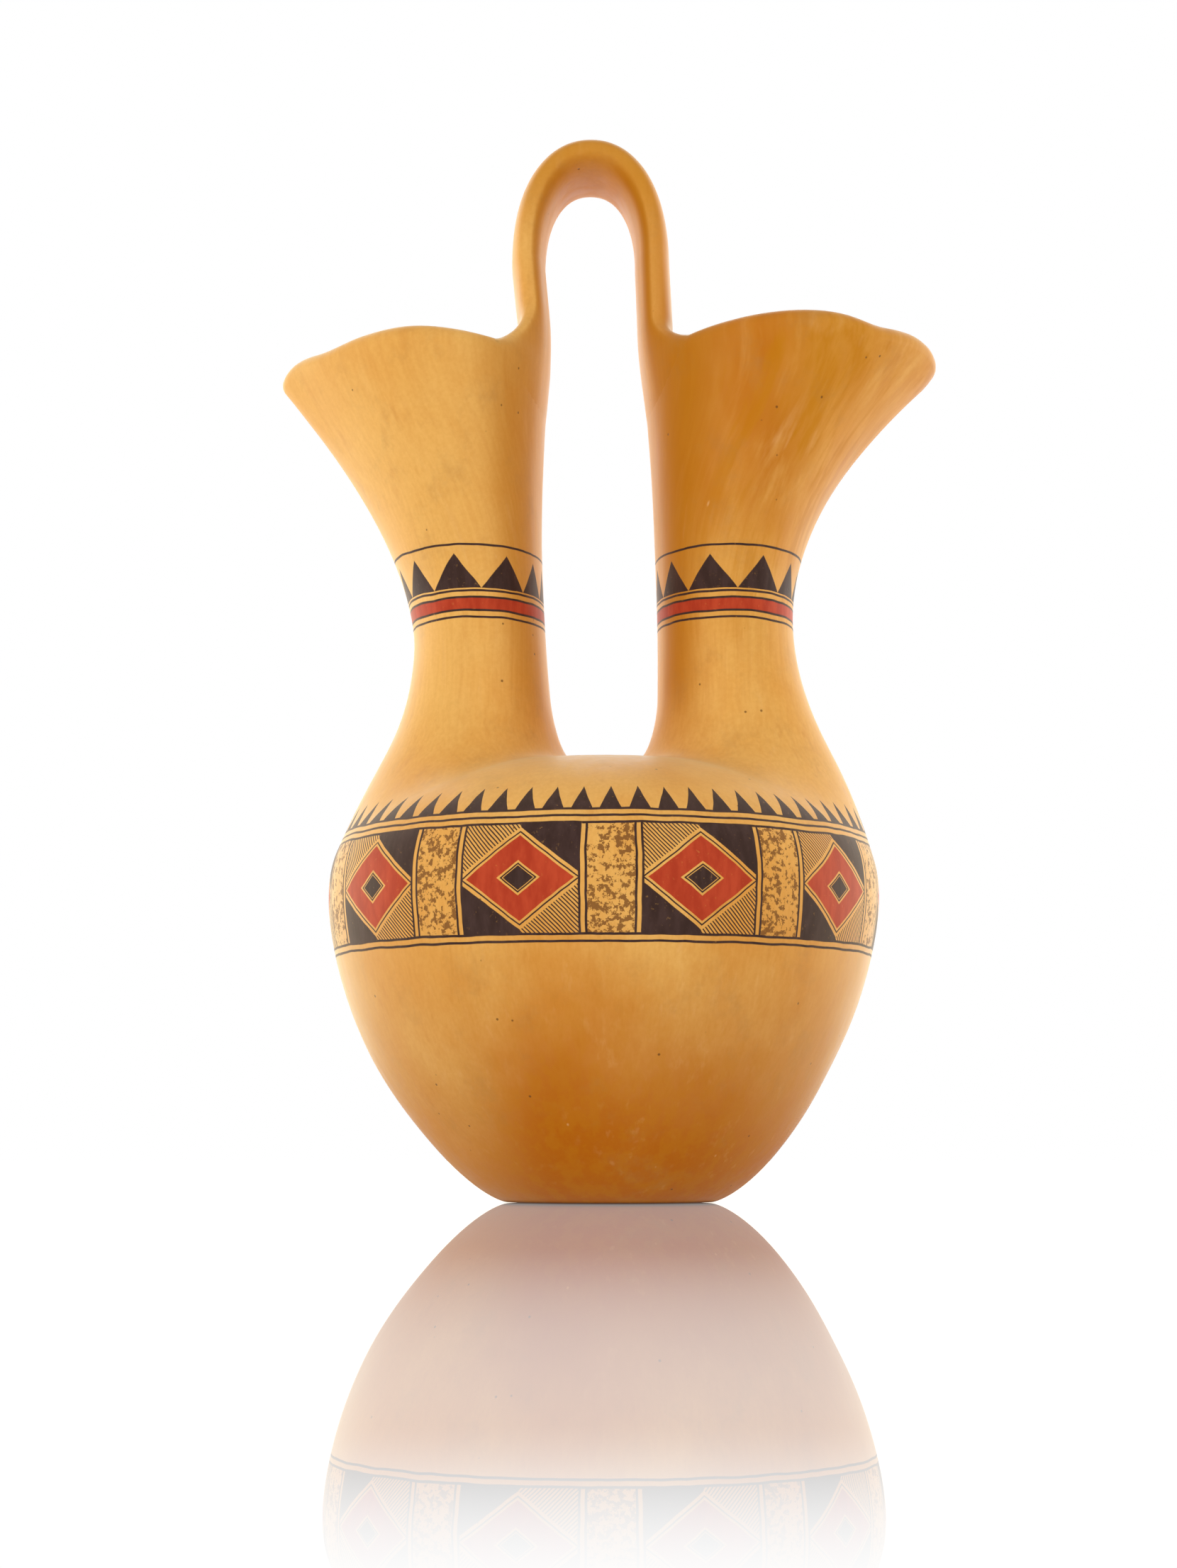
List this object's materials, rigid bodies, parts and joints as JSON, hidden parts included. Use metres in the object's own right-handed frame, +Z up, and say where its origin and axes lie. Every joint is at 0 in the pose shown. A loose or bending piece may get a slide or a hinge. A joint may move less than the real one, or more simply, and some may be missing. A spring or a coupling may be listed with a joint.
{
  "type": "wedding vase",
  "caption": "Coil-built ceramic vase with a round belly, a pair of flared spouts with pouring tips, and a strap handle that arches from rim to rim.",
  "frame": {"origin": "middle of the flat foot, on the surface that the vase stands on", "axes": "+Z up, the long way of the vase; +X towards the right spout; -Y is the front"},
  "size_m": [0.1735, 0.1424, 0.2769],
  "materials": {
    "belly_clay": "burnished unglazed clay with painted slip lines",
    "spout_clay": "burnished unglazed clay with painted slip lines",
    "handle_clay": "burnished unglazed clay, plain"
  },
  "bodies": {
    "root": {"foot_pat": "belly_clay", "lower_course": "belly_clay", "belly_course": "belly_clay", "shoulder_course": "belly_clay", "saddle_bridge": "belly_clay", "left_root": "spout_clay", "left_neck": "spout_clay", "left_lip": "spout_clay", "left_rim_coil": "spout_clay", "right_root": "spout_clay", "right_neck": "spout_clay", "right_lip": "spout_clay", "right_rim_coil": "spout_clay", "handle_strap": "handle_clay"}
  },
  "joints": []
}
